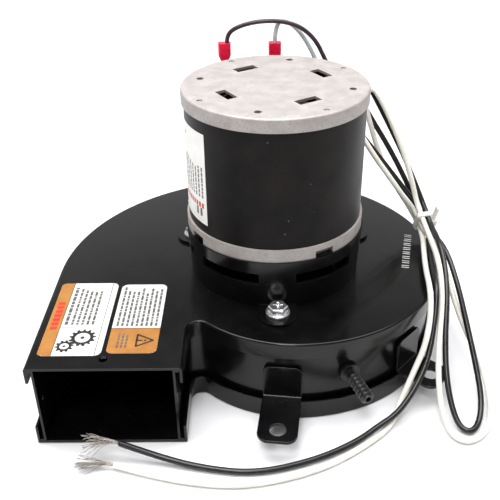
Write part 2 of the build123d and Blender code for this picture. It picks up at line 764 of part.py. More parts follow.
with BuildPart() as hub_set_screw:
    with BuildSketch(set_screw_plane.offset(shaft_radius - shaft_flat_depth)):
        Circle(set_screw_radius - seat_clearance)
    extrude(amount=hub_radius - shaft_radius + shaft_flat_depth - 1.0)
    with BuildSketch(set_screw_plane.offset(hub_radius - 3.0)):
        RegularPolygon(set_screw_radius / 2, 6)
    extrude(amount=3.0, mode=Mode.SUBTRACT)
hub_set_screw.part.label = "hub_set_screw"
export_step(hub_set_screw.part, "parts/hub_set_screw.step")

with BuildPart() as wheel_backplate:
    with BuildSketch(Plane.XY.offset(wheel_top - wheel_sheet)):
        Circle(wheel_radius)
        Circle(shaft_radius + seat_clearance, mode=Mode.SUBTRACT)
        with PolarLocations(backplate_hole_circle, 6):
            Circle(backplate_hole_radius, mode=Mode.SUBTRACT)
    extrude(amount=wheel_sheet)
wheel_backplate.part.label = "wheel_backplate"
export_step(wheel_backplate.part, "parts/wheel_backplate.step")

with BuildPart() as wheel_end_ring:
    with BuildSketch(Plane.XY.offset(wheel_low - wheel_sheet)):
        Circle(wheel_radius)
        Circle(wheel_eye_radius, mode=Mode.SUBTRACT)
    extrude(amount=wheel_sheet)
wheel_end_ring.part.label = "wheel_end_ring"
export_step(wheel_end_ring.part, "parts/wheel_end_ring.step")

blade_mid = (wheel_radius + wheel_eye_radius) / 2
blade_chord = wheel_radius - wheel_eye_radius - 1.0
blade_half = polar(blade_chord / 2, blade_turn)
with BuildSketch() as blade_section:
    with BuildLine():
        heel = (blade_mid - blade_half[0], -blade_half[1])
        lip = (blade_mid + blade_half[0], blade_half[1])
        SagittaArc(heel, lip, -blade_chord * 0.16)
        offset(amount=blade_sheet / 2, side=Side.BOTH)
    make_face()
with BuildPart() as wheel_blades:
    with BuildSketch(Plane.XY.offset(wheel_low)):
        with PolarLocations(0, blade_count):
            add(blade_section.sketch)
    extrude(amount=blade_height)
wheel_blades.part.label = "wheel_blades"
export_step(wheel_blades.part, "parts/wheel_blades.step")

# ---------------------------------------------------------------- run capacitor
can_level = plate_top
can_top = can_level + capacitor_height
with BuildPart() as capacitor_can:
    with BuildSketch(Plane(origin=(capacitor_x, capacitor_y, can_level))):
        SlotOverall(capacitor_length, capacitor_depth)
    extrude(amount=capacitor_height)
    fillet(capacitor_can.edges().group_by(Axis.Z)[0], radius=2)
    with BuildSketch(Plane(origin=(capacitor_x, capacitor_y, can_top))):
        SlotOverall(capacitor_length - 2 * can_rim_width, capacitor_depth - 2 * can_rim_width)
    extrude(amount=-can_rim_height, mode=Mode.SUBTRACT)
    rim_edges = capacitor_can.edges().group_by(Axis.Z)[-1]
    fillet(rim_edges, radius=0.5)
capacitor_can.part.label = "capacitor_can"
export_step(capacitor_can.part, "parts/capacitor_can.step")

terminal_points = [
    (capacitor_x - terminal_spacing / 2, capacitor_y),
    (capacitor_x + terminal_spacing / 2, capacitor_y),
]
connector_low = connector_top - connector_height
terminals = []
for index, point in enumerate(terminal_points):
    with BuildPart() as terminal:
        tab_low = can_top - can_rim_height + terminal_base_height
        with BuildSketch(Plane(origin=(*point, can_top - can_rim_height))):
            Circle(terminal_base_radius)
        extrude(amount=terminal_base_height)
        with BuildSketch(Plane(origin=(*point, tab_low))):
            Rectangle(tab_width, tab_sheet)
        extrude(amount=connector_low + tab_cover - tab_low)
    terminal.part.label = f"capacitor_terminal_{index + 1}"
    terminals.append(terminal.part)
export_step(Compound(label="capacitor_terminals", children=terminals), "parts/capacitor_terminals.step")

connectors = []
for index, point in enumerate(terminal_points):
    with BuildPart() as connector:
        with BuildSketch(Plane(origin=(*point, connector_low), x_dir=(1, 0, 0), z_dir=(0, -1, 0))):
            half = connector_width / 2
            with BuildLine():
                Polyline(
                    (-half + connector_taper, 0),
                    (half - connector_taper, 0),
                    (half - connector_taper, connector_nose),
                    (half, connector_nose + connector_slope),
                    (half, connector_height),
                    (-half, connector_height),
                    (-half, connector_nose + connector_slope),
                    (-half + connector_taper, connector_nose),
                    close=True,
                )
            make_face()
        extrude(amount=connector_depth / 2, both=True)
        fillet(connector.edges().filter_by(Axis.Z), radius=1.0)
        with BuildSketch(Plane(origin=(*point, connector_low))):
            Rectangle(tab_width + 2 * seat_clearance, tab_sheet + 2 * seat_clearance)
        extrude(amount=tab_cover + seat_clearance, mode=Mode.SUBTRACT)
    connector.part.label = f"lead_connector_{index + 1}"
    connectors.append(connector.part)
export_step(Compound(label="lead_connectors", children=connectors), "parts/lead_connectors.step")

strap_level = can_level + strap_rise
with BuildPart() as capacitor_strap:
    with BuildSketch(Plane(origin=(capacitor_x, capacitor_y, strap_level))):
        SlotOverall(2 * strap_reach, capacitor_depth + 2 * (strap_gap + strap_sheet))
        SlotOverall(2 * (strap_reach - strap_sheet), capacitor_depth + 2 * strap_gap, mode=Mode.SUBTRACT)
    extrude(amount=strap_height)
    for side in (-1, 1):
        leg_x = capacitor_x + side * (strap_reach - strap_sheet / 2)
        with BuildSketch(Plane(origin=(leg_x, capacitor_y, can_level))):
            Rectangle(strap_sheet, strap_height)
        extrude(amount=strap_level + strap_height - can_level)
        foot_x = capacitor_x + side * (strap_reach + strap_foot / 2 - strap_sheet / 2)
        with BuildSketch(Plane(origin=(foot_x, capacitor_y, can_level))):
            Rectangle(strap_foot, strap_height)
        extrude(amount=strap_sheet)
    with Locations(*[(x, y, can_level + strap_sheet) for x, y in strap_points]):
        Hole(screw_radius + screw_play, strap_sheet)
capacitor_strap.part.label = "capacitor_strap"
export_step(capacitor_strap.part, "parts/capacitor_strap.step")

strap_screws = [
    washer_head_screw(point, can_level + strap_sheet, strap_sheet + sheet, f"strap_screw_{index + 1}")
    for index, point in enumerate(strap_points)
]
export_step(Compound(label="strap_screws", children=strap_screws), "parts/strap_screws.step")

# ---------------------------------------------------------------- labels and nameplate
flat_labels = {
    "instruction_label": (-88.8, -47.8, 27.2, 54.3),
    "caution_label": (-62.5, -47.8, 21.5, 51.5),
}
for label_name, (x, y, width, length) in flat_labels.items():
    with BuildPart() as flat_label:
        with BuildSketch(Plane(origin=(x, y, plate_top))):
            RectangleRounded(width, length, 3.0)
        extrude(amount=label_sheet)
    flat_label.part.label = label_name
    export_step(flat_label.part, f"parts/{label_name}.step")

with BuildPart() as nameplate:
    with BuildSketch(Plane.XY.offset(ring_top + nameplate_rise)):
        with BuildLine():
            inner = CenterArc((0, 0), shell_radius, nameplate_edge, nameplate_turn)
            outer = CenterArc((0, 0), shell_radius + label_sheet, nameplate_edge, nameplate_turn)
            Line(inner @ 0, outer @ 0)
            Line(inner @ 1, outer @ 1)
        make_face()
    extrude(amount=nameplate_height)
nameplate.part.label = "nameplate"
export_step(nameplate.part, "parts/nameplate.step")

# ---------------------------------------------------------------- leads
# Each lead is a list of points: straight runs, rounded at every point by an arc whose
# radius is a fixed share of the shorter run beside it.
black_lead_points = [
    (27.1, 34.7, 104.3), (32.2, 40.8, 104.3), (40, 41, 99), (51.5, 34, 86.5), (64, 30, 71.5),
    (77.2, 27, 55.4), (80.4, 14, 49.8), (85, -2, 49.3), (88, -19, 40.5), (90.3, -35, 28.5),
    (92.5, -51, 16), (93.3, -64, 7), (90.5, -74.5, 2.2), (85.3, -80.5, 1.5), (80.3, -77, 2.2),
    (77.6, -67.5, 9.5), (77, -56, 19.5), (78.6, -43, 29.5), (81.3, -29, 39.5), (82.3, -13, 48.5),
    (81.2, 0, 53.5), (80.7, 12.9, 52.7), (78.3, 25, 59), (72.7, 31.5, 71.5), (66.5, 35.5, 84.5),
    (59.5, 39.5, 97.5), (53, 43.5, 109), (48.8, 46, 116), (45, 49.5, 112.5), (46.8, 50, 105),
    (52, 47.5, 97), (58.5, 43.5, 87.5), (65, 39.5, 77), (72, 36.5, 64), (77.4, 27.8, 52.3),
    (80.2, 15.2, 46.9), (78.5, 1, 46.2), (76, -17, 46.4), (75.4, -31, 45.4), (73.6, -41, 35.5),
    (70.8, -50, 25.5), (67.5, -57, 18.5), (63, -63.5, 14), (58, -69, 9.5), (52, -74.5, 6.2), (45, -79, 5),
    (34.5, -86, 2.3), (15, -96, 1.5), (-10, -103, 1.4), (-34, -99.5, 1.5), (-54, -94.5, 4),
    (-68, -92.5, 9),
]
white_lead_points = [
    (29.5, 32.7, 104.3), (34.6, 38.8, 104.3), (43, 33.5, 97.5), (50, 24.5, 88), (58, 20.5, 78),
    (66, 21.5, 66.5), (74.2, 25.5, 55.5), (77.4, 13.4, 49.8), (81.4, -2, 49.5), (84.6, -18, 39),
    (89.5, -33, 25), (95, -46, 16.5), (97.3, -59, 8.5), (96.8, -71, 2.5), (90.5, -82, 1.5),
    (82, -86.3, 1.5), (76.3, -82, 2), (73.5, -74, 6.5), (72.9, -65.5, 13), (73.5, -56.5, 20.5),
    (75.4, -45.5, 29), (78.4, -31, 41), (79, -16, 49.6), (77.8, -1, 53), (77.6, 12.2, 52.9),
    (74.8, 25, 59.6), (71.3, 27.5, 72), (66.5, 30.5, 86), (60.5, 34.5, 99.5), (54.5, 38.5, 111),
    (50, 42, 117), (46, 43.5, 113.5), (47, 44, 107), (50.5, 43, 96), (54.5, 41, 84.5),
    (58.5, 38.5, 75), (65, 34.5, 65), (74.3, 27.1, 52.3), (77.1, 14.5, 46.9), (74.8, 0, 47.2),
    (72.3, -18, 47.2), (71.4, -36, 46.2), (70.4, -44.5, 37.5), (67.8, -51.5, 27), (63, -57, 18),
    (59, -62.5, 12), (54.4, -68.5, 5.4), (50.5, -76, 2), (41, -85, 1.5), (22.5, -98, 1.4),
    (3.5, -105.5, 1.5), (-17, -109.5, 1.4), (-37, -107.5, 1.5), (-55, -103, 1.4), (-70, -98.5, 2.4),
]
brown_lead_points = [
    (-23, 60.5, 134.6), (-23, 60.5, 138.8), (-17.5, 60.2, 142.8), (-8, 60, 145.3), (3.5, 60, 145.6),
    (14, 60, 142.8), (22, 59.5, 136), (27, 57.5, 126.5), (32.5, 53, 116), (37, 46, 109.3),
    (34.5, 38.9, 107.6), (29.4, 32.8, 107.6),
]
grey_lead_points = [
    (1.4, 60.5, 134.6), (1.4, 60.5, 140), (3.8, 63, 145.2), (9.8, 63.8, 143.2), (15.5, 63, 137.5),
    (20.5, 61.5, 129.5), (25.5, 56.5, 118.5), (31, 48.5, 110.5), (32.3, 40.7, 107.6),
    (27.2, 34.6, 107.6),
]
black_bare_points = [(-68, -92.5, 9), (-75.5, -91.6, 11), (-84, -93, 8.5)]
white_bare_points = [(-70, -98.5, 2.4), (-78, -97.2, 3), (-87, -98.5, 1.6)]
arc_share = 0.45


def corner_radii(points):
    """One radius for each inner point: the share of its shorter run over tan(half the turn)."""
    radii = []
    for before, here, after in zip(points, points[1:], points[2:]):
        run_in = Vector(*here) - Vector(*before)
        run_out = Vector(*after) - Vector(*here)
        half_turn = math.radians(run_in.get_angle(run_out)) / 2
        radii.append(arc_share * min(run_in.length, run_out.length) / math.tan(half_turn))
    return radii


cords = {
    "black_lead": (black_lead_points, lead_radius),
    "white_lead": (white_lead_points, lead_radius),
    "capacitor_lead_brown": (brown_lead_points, thin_lead_radius),
    "capacitor_lead_grey": (grey_lead_points, thin_lead_radius),
    "black_lead_bare_end": (black_bare_points, bare_radius),
    "white_lead_bare_end": (white_bare_points, bare_radius),
}
for cord_name, (points, radius) in cords.items():
    radii = corner_radii(points)
    with BuildPart() as cord:
        with BuildLine():
            path = FilletPolyline(*points, radius=radii)
        with BuildSketch(Plane(origin=path @ 0, z_dir=path % 0)):
            Circle(radius)
        sweep(path=path)
    share = cord.part.volume / (math.pi * radius ** 2 * path.length)
    print(f"{cord_name}: {path.length:.0f} mm, volume over section x length {share:.4f}")
    print("   radii", " ".join(f"{value:.0f}" for value in radii))
    cord.part.label = cord_name
    export_step(cord.part, f"parts/{cord_name}.step")

tie_plane = Plane(origin=(77.5, 20, 52.5), x_dir=(0.9762, 0.2169, 0), z_dir=(0.2006, -0.9025, -0.3811))
with BuildPart() as cable_tie:
    with BuildSketch(tie_plane.offset(-tie_width / 2)):
        RectangleRounded(2 * (tie_half_width + tie_sheet), 2 * (tie_half_height + tie_sheet), 2.0)
        RectangleRounded(2 * tie_half_width, 2 * tie_half_height, 1.0, mode=Mode.SUBTRACT)
    extrude(amount=tie_width)
    with BuildSketch(tie_plane.offset(-tie_head / 2)):
        with Locations((tie_half_width + tie_sheet + 1.6, -1.5)):
            Rectangle(3.4, tie_head)
    extrude(amount=tie_head)
    with BuildSketch(tie_plane.offset(-tie_width / 2)):
        with Locations((tie_half_width + tie_sheet + 1.6, 5.0)):
            Rectangle(tie_sheet, tie_tail)
    extrude(amount=tie_width)
cable_tie.part.label = "cable_tie"
export_step(cable_tie.part, "parts/cable_tie.step")
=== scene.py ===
import json
import math
import bmesh
import bpy
import numpy as np
from mathutils import Matrix, Vector


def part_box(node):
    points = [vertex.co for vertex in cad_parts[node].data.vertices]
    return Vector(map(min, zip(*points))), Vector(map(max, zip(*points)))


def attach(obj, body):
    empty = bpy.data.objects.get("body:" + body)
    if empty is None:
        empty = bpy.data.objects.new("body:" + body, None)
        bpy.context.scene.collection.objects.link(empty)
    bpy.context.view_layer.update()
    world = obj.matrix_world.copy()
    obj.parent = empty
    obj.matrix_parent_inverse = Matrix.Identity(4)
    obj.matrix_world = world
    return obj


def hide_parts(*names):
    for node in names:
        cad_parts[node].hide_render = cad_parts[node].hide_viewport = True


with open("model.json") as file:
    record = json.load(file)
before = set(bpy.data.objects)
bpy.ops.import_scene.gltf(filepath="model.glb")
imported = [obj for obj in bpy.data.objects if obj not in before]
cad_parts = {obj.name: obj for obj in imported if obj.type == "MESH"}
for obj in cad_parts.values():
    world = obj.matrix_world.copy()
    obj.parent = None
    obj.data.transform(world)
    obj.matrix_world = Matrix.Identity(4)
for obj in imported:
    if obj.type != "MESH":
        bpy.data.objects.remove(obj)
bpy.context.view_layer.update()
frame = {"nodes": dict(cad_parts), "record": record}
nodes = frame["nodes"]
scene = bpy.context.scene
mm = 0.001
print("frame loaded:", len(nodes), "nodes")

# camera: standing in front of the outlet side, looking down on the fan
cameraView = {
    "place": (-0.008396, -0.322543, 0.246768),
    "turn": -0.6705,   # degrees to the right of +Y
    "down": 31.673,
    "roll": -0.8686,
    "lens": 54.41,
    "sensor": 36,
}
turn, down, roll = (math.radians(cameraView[key]) for key in ("turn", "down", "roll"))
ahead = Vector((math.sin(turn) * math.cos(down), math.cos(turn) * math.cos(down), -math.sin(down)))
level = Vector((math.cos(turn), -math.sin(turn), 0))
over = level.cross(ahead)
rightward = math.cos(roll) * level + math.sin(roll) * over
upward = math.cos(roll) * over - math.sin(roll) * level
cameraObject = bpy.data.objects.new("camera", bpy.data.cameras.new("camera"))
scene.collection.objects.link(cameraObject)
cameraObject.data.sensor_width = cameraView["sensor"]
cameraObject.data.lens = cameraView["lens"]
cameraObject.data.clip_start = 0.01
facingAhead = Matrix((rightward, upward, -ahead)).transposed().to_4x4()
cameraObject.matrix_world = Matrix.Translation(cameraView["place"]) @ facingAhead
scene.camera = cameraObject

# cords: the lead routes, point by point, in metres
blackRoute = [
    (0.0271, 0.0347, 0.1043), (0.0322, 0.0408, 0.1043), (0.04, 0.041, 0.099), (0.0515, 0.034, 0.0865),
    (0.064, 0.03, 0.0715), (0.0772, 0.027, 0.0554), (0.0804, 0.014, 0.0498), (0.085, -0.002, 0.0493),
    (0.088, -0.019, 0.0405), (0.0903, -0.035, 0.0285), (0.0925, -0.051, 0.016), (0.0933, -0.064, 0.007),
    (0.0905, -0.0745, 0.0022), (0.0853, -0.0805, 0.0015), (0.0803, -0.077, 0.0022),
    (0.0776, -0.0675, 0.0095), (0.077, -0.056, 0.0195), (0.0786, -0.043, 0.0295),
    (0.0813, -0.029, 0.0395), (0.0823, -0.013, 0.0485), (0.0812, 0, 0.0535), (0.0807, 0.0129, 0.0527),
    (0.0783, 0.025, 0.059), (0.0727, 0.0315, 0.0715), (0.0665, 0.0355, 0.0845), (0.0595, 0.0395, 0.0975),
    (0.053, 0.0435, 0.109), (0.0488, 0.046, 0.116), (0.045, 0.0495, 0.1125), (0.0468, 0.05, 0.105),
    (0.052, 0.0475, 0.097), (0.0585, 0.0435, 0.0875), (0.065, 0.0395, 0.077), (0.072, 0.0365, 0.064),
    (0.0774, 0.0278, 0.0523), (0.0802, 0.0152, 0.0469), (0.0785, 0.001, 0.0462), (0.076, -0.017, 0.0464),
    (0.0754, -0.031, 0.0454), (0.0736, -0.041, 0.0355), (0.0708, -0.05, 0.0255), (0.0675, -0.057, 0.0185),
    (0.063, -0.0635, 0.014), (0.058, -0.069, 0.0095), (0.052, -0.0745, 0.0062), (0.045, -0.079, 0.005),
    (0.0345, -0.086, 0.0023), (0.015, -0.096, 0.0015), (-0.01, -0.103, 0.0014), (-0.034, -0.0995, 0.0015),
    (-0.054, -0.0945, 0.004), (-0.068, -0.0925, 0.009),
]
whiteRoute = [
    (0.0295, 0.0327, 0.1043), (0.0346, 0.0388, 0.1043), (0.043, 0.0335, 0.0975), (0.05, 0.0245, 0.088),
    (0.058, 0.0205, 0.078), (0.066, 0.0215, 0.0665), (0.0742, 0.0255, 0.0555), (0.0774, 0.0134, 0.0498),
    (0.0814, -0.002, 0.0495), (0.0846, -0.018, 0.039), (0.0895, -0.033, 0.025), (0.095, -0.046, 0.0165),
    (0.0973, -0.059, 0.0085), (0.0968, -0.071, 0.0025), (0.0905, -0.082, 0.0015),
    (0.082, -0.0863, 0.0015), (0.0763, -0.082, 0.002), (0.0735, -0.074, 0.0065), (0.0729, -0.0655, 0.013),
    (0.0735, -0.0565, 0.0205), (0.0754, -0.0455, 0.029), (0.0784, -0.031, 0.041), (0.079, -0.016, 0.0496),
    (0.0778, -0.001, 0.053), (0.0776, 0.0122, 0.0529), (0.0748, 0.025, 0.0596), (0.0713, 0.0275, 0.072),
    (0.0665, 0.0305, 0.086), (0.0605, 0.0345, 0.0995), (0.0545, 0.0385, 0.111), (0.05, 0.042, 0.117),
    (0.046, 0.0435, 0.1135), (0.047, 0.044, 0.107), (0.0505, 0.043, 0.096), (0.0545, 0.041, 0.0845),
    (0.0585, 0.0385, 0.075), (0.065, 0.0345, 0.065), (0.0743, 0.0271, 0.0523), (0.0771, 0.0145, 0.0469),
    (0.0748, 0, 0.0472), (0.0723, -0.018, 0.0472), (0.0714, -0.036, 0.0462), (0.0704, -0.0445, 0.0375),
    (0.0678, -0.0515, 0.027), (0.063, -0.057, 0.018), (0.059, -0.0625, 0.012), (0.0544, -0.0685, 0.0054),
    (0.0505, -0.076, 0.002), (0.041, -0.085, 0.0015), (0.0225, -0.098, 0.0014), (0.0035, -0.1055, 0.0015),
    (-0.017, -0.1095, 0.0014), (-0.037, -0.1075, 0.0015), (-0.055, -0.103, 0.0014),
    (-0.07, -0.0985, 0.0024),
]
brownRoute = [
    (-0.023, 0.0605, 0.1346), (-0.023, 0.0605, 0.1388), (-0.0175, 0.0602, 0.1428), (-0.008, 0.06, 0.1453),
    (0.0035, 0.06, 0.1456), (0.014, 0.06, 0.1428), (0.022, 0.0595, 0.136), (0.027, 0.0575, 0.1265),
    (0.0325, 0.053, 0.116), (0.037, 0.046, 0.1093), (0.0345, 0.0389, 0.1076), (0.0294, 0.0328, 0.1076),
]
greyRoute = [
    (0.0014, 0.0605, 0.1346), (0.0014, 0.0605, 0.14), (0.0038, 0.063, 0.1452), (0.0098, 0.0638, 0.1432),
    (0.0155, 0.063, 0.1375), (0.0205, 0.0615, 0.1295), (0.0255, 0.0565, 0.1185), (0.031, 0.0485, 0.1105),
    (0.0323, 0.0407, 0.1076), (0.0272, 0.0346, 0.1076),
]
blackBareRoute = [
    (-0.068, -0.0925, 0.009), (-0.0755, -0.0916, 0.011), (-0.084, -0.093, 0.0085),
]
whiteBareRoute = [
    (-0.07, -0.0985, 0.0024), (-0.078, -0.0972, 0.003), (-0.087, -0.0985, 0.0016),
]


def layCord(name, route, width):  # one smooth spline, the route's points as its control points
    curve = bpy.data.curves.new(name, "CURVE")
    curve.dimensions = "3D"
    spline = curve.splines.new("NURBS")
    spline.points.add(len(route) - 1)
    spline.points.foreach_set("co", np.hstack([route, np.ones((len(route), 1))]).ravel())
    spline.order_u = 3
    spline.use_endpoint_u = True
    spline.points.foreach_set("radius", np.full(len(route), width / 2))
    curve.bevel_depth = 1.0   # times each point's radius, which also sizes the curve's bounding box
    curve.bevel_resolution = 5
    curve.resolution_u = 8
    curve.use_fill_caps = True
    piece = bpy.data.objects.new(name, curve)
    scene.collection.objects.link(piece)
    return piece


leadSizes = {"lead": 2.7 * mm, "thinLead": 2.2 * mm}
blackLead = layCord("blackLead", blackRoute, leadSizes["lead"])
whiteLead = layCord("whiteLead", whiteRoute, leadSizes["lead"])
brownLead = layCord("brownLead", brownRoute, leadSizes["thinLead"])
greyLead = layCord("greyLead", greyRoute, leadSizes["thinLead"])
print("cords laid")


def newPiece(name, points, faces, smooth=True):  # a mesh object at the origin, its place in its mesh
    mesh = bpy.data.meshes.new(name)
    mesh.from_pydata(np.asarray(points, float).reshape(-1, 3).tolist(), [], faces)
    mesh.polygons.foreach_set("use_smooth", np.full(len(mesh.polygons), smooth))
    mesh.update()
    piece = bpy.data.objects.new(name, mesh)
    scene.collection.objects.link(piece)
    return piece


def gridFaces(rows, columns, closed):
    # quads of a grid of points, row by row; closed joins the last column to the first
    row, column = np.meshgrid(np.arange(rows - 1), np.arange(columns if closed else columns - 1), indexing="ij")
    after = (column + 1) % columns
    quads = np.stack([row, row, row + 1, row + 1], -1) * columns + np.stack([column, after, after, column], -1)
    return quads.reshape(-1, 4)


# bare ends: tinned copper strands that fan out from the cut insulation
strandFan = {
    "count": 30, "thickness": 0.26 * mm, "bundle": 0.7 * mm, "spread": 3.4 * mm, "wave": 0.8 * mm,
    "samples": 16, "sides": 6, "shortest": 0.28, "bowAcross": 0.45, "bowUp": 0.3, "lowest": 0.35 * mm,
}


def fanStrands(name, route, seed):
    # strand = quadratic curve through the route + its place in the bundle + spread x t^2 x its own direction
    pick = np.random.default_rng(seed)
    start, middle, end = (np.array(point) for point in route)
    t = np.linspace(0, 1, strandFan["samples"])[None, :, None]
    spine = (1 - t) ** 2 * start + 2 * t * (1 - t) * middle + t ** 2 * end
    along = (end - start) / np.linalg.norm(end - start)
    side = np.cross(along, (0, 0, 1.0))
    side /= np.linalg.norm(side)
    rise = np.cross(side, along)
    count = strandFan["count"]
    angle = pick.uniform(0, 2 * np.pi, count)
    share = np.sqrt(pick.uniform(0, 1, count))
    place = (np.cos(angle) * share)[:, None, None] * side + (np.sin(angle) * share)[:, None, None] * rise
    reach = 1 - pick.uniform(0, strandFan["shortest"], count)[:, None, None]
    bow = pick.normal(0, strandFan["bowAcross"], count)[:, None, None] * side
    bow = bow + np.abs(pick.normal(0, strandFan["bowUp"], count))[:, None, None] * rise
    line = start + (spine - start) * reach + place * (strandFan["bundle"] + strandFan["spread"] * t ** 2)
    sway = np.sin(t * pick.uniform(4, 9, count)[:, None, None] + pick.uniform(0, 6, count)[:, None, None])
    line = line + bow * strandFan["spread"] * t ** 1.6 + sway * rise * strandFan["wave"] * t
    line[..., 2] = np.maximum(line[..., 2], strandFan["lowest"])
    sides = strandFan["sides"]
    ring = np.linspace(0, 2 * np.pi, sides, endpoint=False)
    circle = np.cos(ring)[:, None] * side + np.sin(ring)[:, None] * rise
    tubes = line[:, :, None, :] + circle * strandFan["thickness"] / 2
    one = gridFaces(strandFan["samples"], sides, True)
    step = strandFan["samples"] * sides
    quads = (one[None] + np.arange(count)[:, None, None] * step).reshape(-1, 4).tolist()
    first = [[n * step + k for k in range(sides - 1, -1, -1)] for n in range(count)]
    last = [[(n + 1) * step - sides + k for k in range(sides)] for n in range(count)]
    piece = newPiece(name, tubes, quads + first + last)
    outwardFaces(piece)
    return piece


def outwardFaces(piece):
    shape = bmesh.new()
    shape.from_mesh(piece.data)
    bmesh.ops.recalc_face_normals(shape, faces=shape.faces)
    shape.to_mesh(piece.data)
    shape.free()


blackStrands = fanStrands("blackLeadStrands", blackBareRoute, 3)
whiteStrands = fanStrands("whiteLeadStrands", whiteBareRoute, 8)

cordFacts = [
    (blackLead, blackRoute, "black_lead", "lead", "bare", [blackStrands], 0.723),
    (whiteLead, whiteRoute, "white_lead", "lead", "bare", [whiteStrands], 0.740),
    (brownLead, brownRoute, "capacitor_lead_brown", "thinLead", "object", [], 0.102),
    (greyLead, greyRoute, "capacitor_lead_grey", "thinLead", "object", [], 0.076),
]
for piece, route, node, size, farEnd, ends, length in cordFacts:
    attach(piece, "base")
    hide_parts(node)
for piece, node in ((blackStrands, "black_lead_bare_end"), (whiteStrands, "white_lead_bare_end")):
    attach(piece, "base")
    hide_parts(node)


# sheet metal and screws with their real broken edges: a merged copy of the node with a small bevel
edgeBreaks = {
    "top_pan": 0.3, "bottom_pan": 0.3, "scroll_wall": 0.2, "front_foot": 0.3, "right_foot": 0.3,
    "rear_foot": 0.3, "motor_cup": 0.5, "upper_end_shield": 0.35, "lower_end_shield": 0.3,
    "cup_screws": 0.25, "strap_screws": 0.25, "capacitor_strap": 0.2, "lead_connectors": 0.35,
    "cable_tie": 0.25, "tap_nut": 0.25, "wheel_hub": 0.3, "pressure_tap": 0.15,
}
edgeAngle = math.radians(38)
flatAngle = math.radians(0.4)   # faces this close to one plane become one face
weldDistance = 1e-6


def pieceName(node):
    first, *rest = node.split("_")
    return first + "".join(word.capitalize() for word in rest)


def softened(node, width):
    mesh = nodes[node].data.copy()
    shape = bmesh.new()
    shape.from_mesh(mesh)
    bmesh.ops.remove_doubles(shape, verts=shape.verts, dist=weldDistance)
    bmesh.ops.dissolve_limit(shape, angle_limit=flatAngle, verts=shape.verts, edges=shape.edges)
    shape.to_mesh(mesh)
    shape.free()
    mesh.polygons.foreach_set("use_smooth", np.full(len(mesh.polygons), True))
    mesh.set_sharp_from_angle(angle=edgeAngle)
    piece = bpy.data.objects.new(pieceName(node), mesh)
    scene.collection.objects.link(piece)
    bevel = piece.modifiers.new("brokenEdge", "BEVEL")
    bevel.width = width * mm
    bevel.segments = 2
    bevel.limit_method = "ANGLE"
    bevel.angle_limit = edgeAngle
    bevel.use_clamp_overlap = True
    bevel.harden_normals = True
    return piece


bodyOf = {name: body for body, names in frame["record"]["behaviour"]["bodies"].items() for name in names}
slotOf = {part["node"]: part["material_slot"] for part in frame["record"]["subparts"]}
shown = {}   # what takes each node's finish
for node, width in edgeBreaks.items():
    shown[node] = softened(node, width)
    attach(shown[node], bodyOf[node])
    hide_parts(node)
shown.update({"black_lead": blackLead, "white_lead": whiteLead, "capacitor_lead_brown": brownLead,
              "capacitor_lead_grey": greyLead, "black_lead_bare_end": blackStrands,
              "white_lead_bare_end": whiteStrands})
for node in nodes:
    shown.setdefault(node, nodes[node])
print("edges broken on", len(edgeBreaks), "pieces")


# printed labels: blocks and bars of ink, a hair over the film, with no lettering
def inkBlocks(name, blocks, place, leftward=False):
    # corner points of each block (s0, t0, s1, t1), put on the surface by place(s, t)
    # leftward: s runs to the left, so the corners are taken the other way round
    blocks = np.asarray(blocks, float)
    s = blocks[:, [0, 2, 2, 0]]
    t = blocks[:, [1, 1, 3, 3]]
    quads = np.arange(len(blocks) * 4).reshape(-1, 4)
    return newPiece(name, place(s, t), (quads[:, ::-1] if leftward else quads).tolist(), smooth=False)


def inkBands(name, bands, place):
    # each band is a pair of closed outlines with the same number of points, inner and outer
    points, quads = [], []
    for inner, outer in bands:
        start = sum(len(each) for each in points)
        points.append(np.concatenate([inner, outer]))
        quads += (gridFaces(2, len(inner), True) + start)[:, ::-1].tolist()
    flat = np.concatenate(points)
    return newPiece(name, place(flat[:, 0], flat[:, 1]), quads, smooth=False)


def textRows(places, begin, finish, height, seed, shortest=1.0, longest=3.8, gap=0.45):
    # rows of word sized bars along t, one row at each s
    pick = np.random.default_rng(seed)
    count = 60
    lengths = pick.uniform(shortest, longest, (len(places), count))
    ends = begin + np.cumsum(lengths + gap, 1) - gap
    starts = ends - lengths
    last = finish - pick.uniform(0, 0.16, len(places))[:, None] * (finish - begin)
    keep = ends < last
    s = np.broadcast_to(np.asarray(places, float)[:, None], starts.shape)[keep]
    return np.stack([s - height / 2, starts[keep], s + height / 2, ends[keep]], 1)


def ringOutline(centre, radius, teeth=0, depth=0, count=96):
    angle = np.linspace(0, 2 * np.pi, count, endpoint=False)
    reach = radius + depth * (np.sin(angle * teeth) > 0) if teeth else np.full(count, radius)
    return np.stack([centre[0] + reach * np.cos(angle), centre[1] + reach * np.sin(angle)], 1)


def triangleOutline(centre, radius, count=96):
    # a rounded triangle: distance to the straight side, blended with a circle at the corners
    angle = np.linspace(0, 2 * np.pi, count, endpoint=False)
    inside = (angle + np.pi / 3) % (2 * np.pi / 3) - np.pi / 3
    reach = np.minimum(0.5 * radius / np.cos(inside), 0.92 * radius)
    return np.stack([centre[0] - reach * np.cos(angle), centre[1] - reach * np.sin(angle)], 1)


inkLift = 0.03
instructionLow, instructionHigh = (np.array(corner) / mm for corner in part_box("instruction_label"))
cautionLow, cautionHigh = (np.array(corner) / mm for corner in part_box("caution_label"))


def onInstruction(s, t):  # s across the label from its left edge, t back from its front edge, in mm
    return np.stack([instructionLow[0] + s, instructionLow[1] + t, s * 0 + instructionHigh[2] + inkLift], -1) * mm


def onCaution(s, t):
    return np.stack([cautionLow[0] + s, cautionLow[1] + t, s * 0 + cautionHigh[2] + inkLift], -1) * mm


def overInk(place):  # a second layer of ink on the first
    return lambda s, t: place(s, t) + np.array((0, 0, inkLift * mm))


